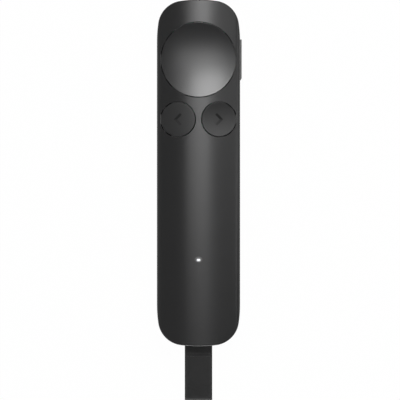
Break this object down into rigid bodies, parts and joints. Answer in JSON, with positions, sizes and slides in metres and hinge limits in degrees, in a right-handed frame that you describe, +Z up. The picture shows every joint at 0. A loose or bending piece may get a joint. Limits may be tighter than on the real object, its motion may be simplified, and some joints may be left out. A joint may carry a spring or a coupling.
{
  "type": "wireless presentation clicker",
  "caption": "Slim hand-held presenter with a dished pointer key, round back and next keys, a side key, and a radio receiver that pulls out of the rear end by a webbing loop.",
  "frame": {"origin": "centre of the flat back that it rests on", "axes": "+Z up through the keys, +Y towards the pointer end, +X towards the side key"},
  "size_m": [0.0318, 0.1504, 0.013],
  "materials": {
    "casing_plastic": "fine satin texture",
    "key_plastic": "fine satin texture",
    "cap_plastic": "satin",
    "webbing": "woven polyester",
    "light_guide": "clear moulding",
    "lamp_ceramic": "moulded",
    "screw_steel": "black zinc",
    "board_laminate": "green solder mask",
    "switch_plastic": "moulded",
    "switch_metal": "stamped",
    "shield_metal": "tin plated",
    "plated_steel": "nickel plated",
    "spring_steel": "bare",
    "chip_resin": "moulded",
    "ceramic": "sintered",
    "port_plastic": "moulded",
    "gold_contact": "gold plated",
    "battery_foil": "laminate pouch",
    "adhesive_tape": "double sided",
    "connector_plastic": "moulded",
    "lead_insulation": "insulated",
    "sleeve_plastic": "moulded"
  },
  "bodies": {
    "casing": {"front_shell": "casing_plastic", "rear_shell": "casing_plastic", "case_screws": "screw_steel", "board_screws": "screw_steel", "main_board": "board_laminate", "pointer_switch": "switch_metal", "back_switch": "switch_metal", "next_switch": "switch_metal", "side_switch": "switch_metal", "radio_shield": "shield_metal", "microcontroller": "chip_resin", "crystal": "shield_metal", "motion_sensor": "chip_resin", "charger_chip": "chip_resin", "power_inductor": "chip_resin", "board_capacitors": "ceramic", "chip_antenna": "ceramic", "status_led": "lamp_ceramic", "light_pipe": "light_guide", "charging_port_shell": "plated_steel", "charging_port_tongue": "port_plastic", "battery_cell": "battery_foil", "battery_guard_board": "board_laminate", "battery_tape": "adhesive_tape", "battery_connector": "connector_plastic", "battery_leads": "lead_insulation", "vibration_motor": "plated_steel", "motor_leads": "lead_insulation", "receiver_sleeve": "sleeve_plastic", "detent_springs": "spring_steel"},
    "pointer_button": {"pointer_key": "key_plastic", "pointer_plunger": "switch_plastic"},
    "back_button": {"back_key": "key_plastic", "back_plunger": "switch_plastic"},
    "next_button": {"next_key": "key_plastic", "next_plunger": "switch_plastic"},
    "side_button": {"side_key": "key_plastic", "side_plunger": "switch_plastic"},
    "receiver": {"receiver_cap": "cap_plastic", "receiver_plug_shell": "plated_steel", "receiver_tongue": "port_plastic", "receiver_board": "board_laminate", "receiver_contacts": "gold_contact", "strap_bar": "spring_steel"},
    "strap": {"strap_loop": "webbing"}
  },
  "joints": [
    {"name": "pointer_press", "type": "slide", "parent": "casing", "child": "pointer_button", "axis": [0, 0, -1], "range_m": [0, 0.00045], "stiffness_N_per_m": 2000},
    {"name": "back_press", "type": "slide", "parent": "casing", "child": "back_button", "axis": [0, 0, -1], "range_m": [0, 0.0004], "stiffness_N_per_m": 1500},
    {"name": "next_press", "type": "slide", "parent": "casing", "child": "next_button", "axis": [0, 0, -1], "range_m": [0, 0.0004], "stiffness_N_per_m": 1500},
    {"name": "side_press", "type": "slide", "parent": "casing", "child": "side_button", "axis": [-1, 0, 0], "range_m": [0, 0.00035], "stiffness_N_per_m": 1500},
    {"name": "receiver_pull", "type": "slide", "parent": "casing", "child": "receiver", "axis": [0, -1, 0], "range_m": [0, 0.026]},
    {"name": "strap_swing", "type": "hinge", "parent": "receiver", "child": "strap", "pos_m": [0, -0.063, 0.0071], "axis": [1, 0, 0], "range_deg": [-30, 30]}
  ]
}
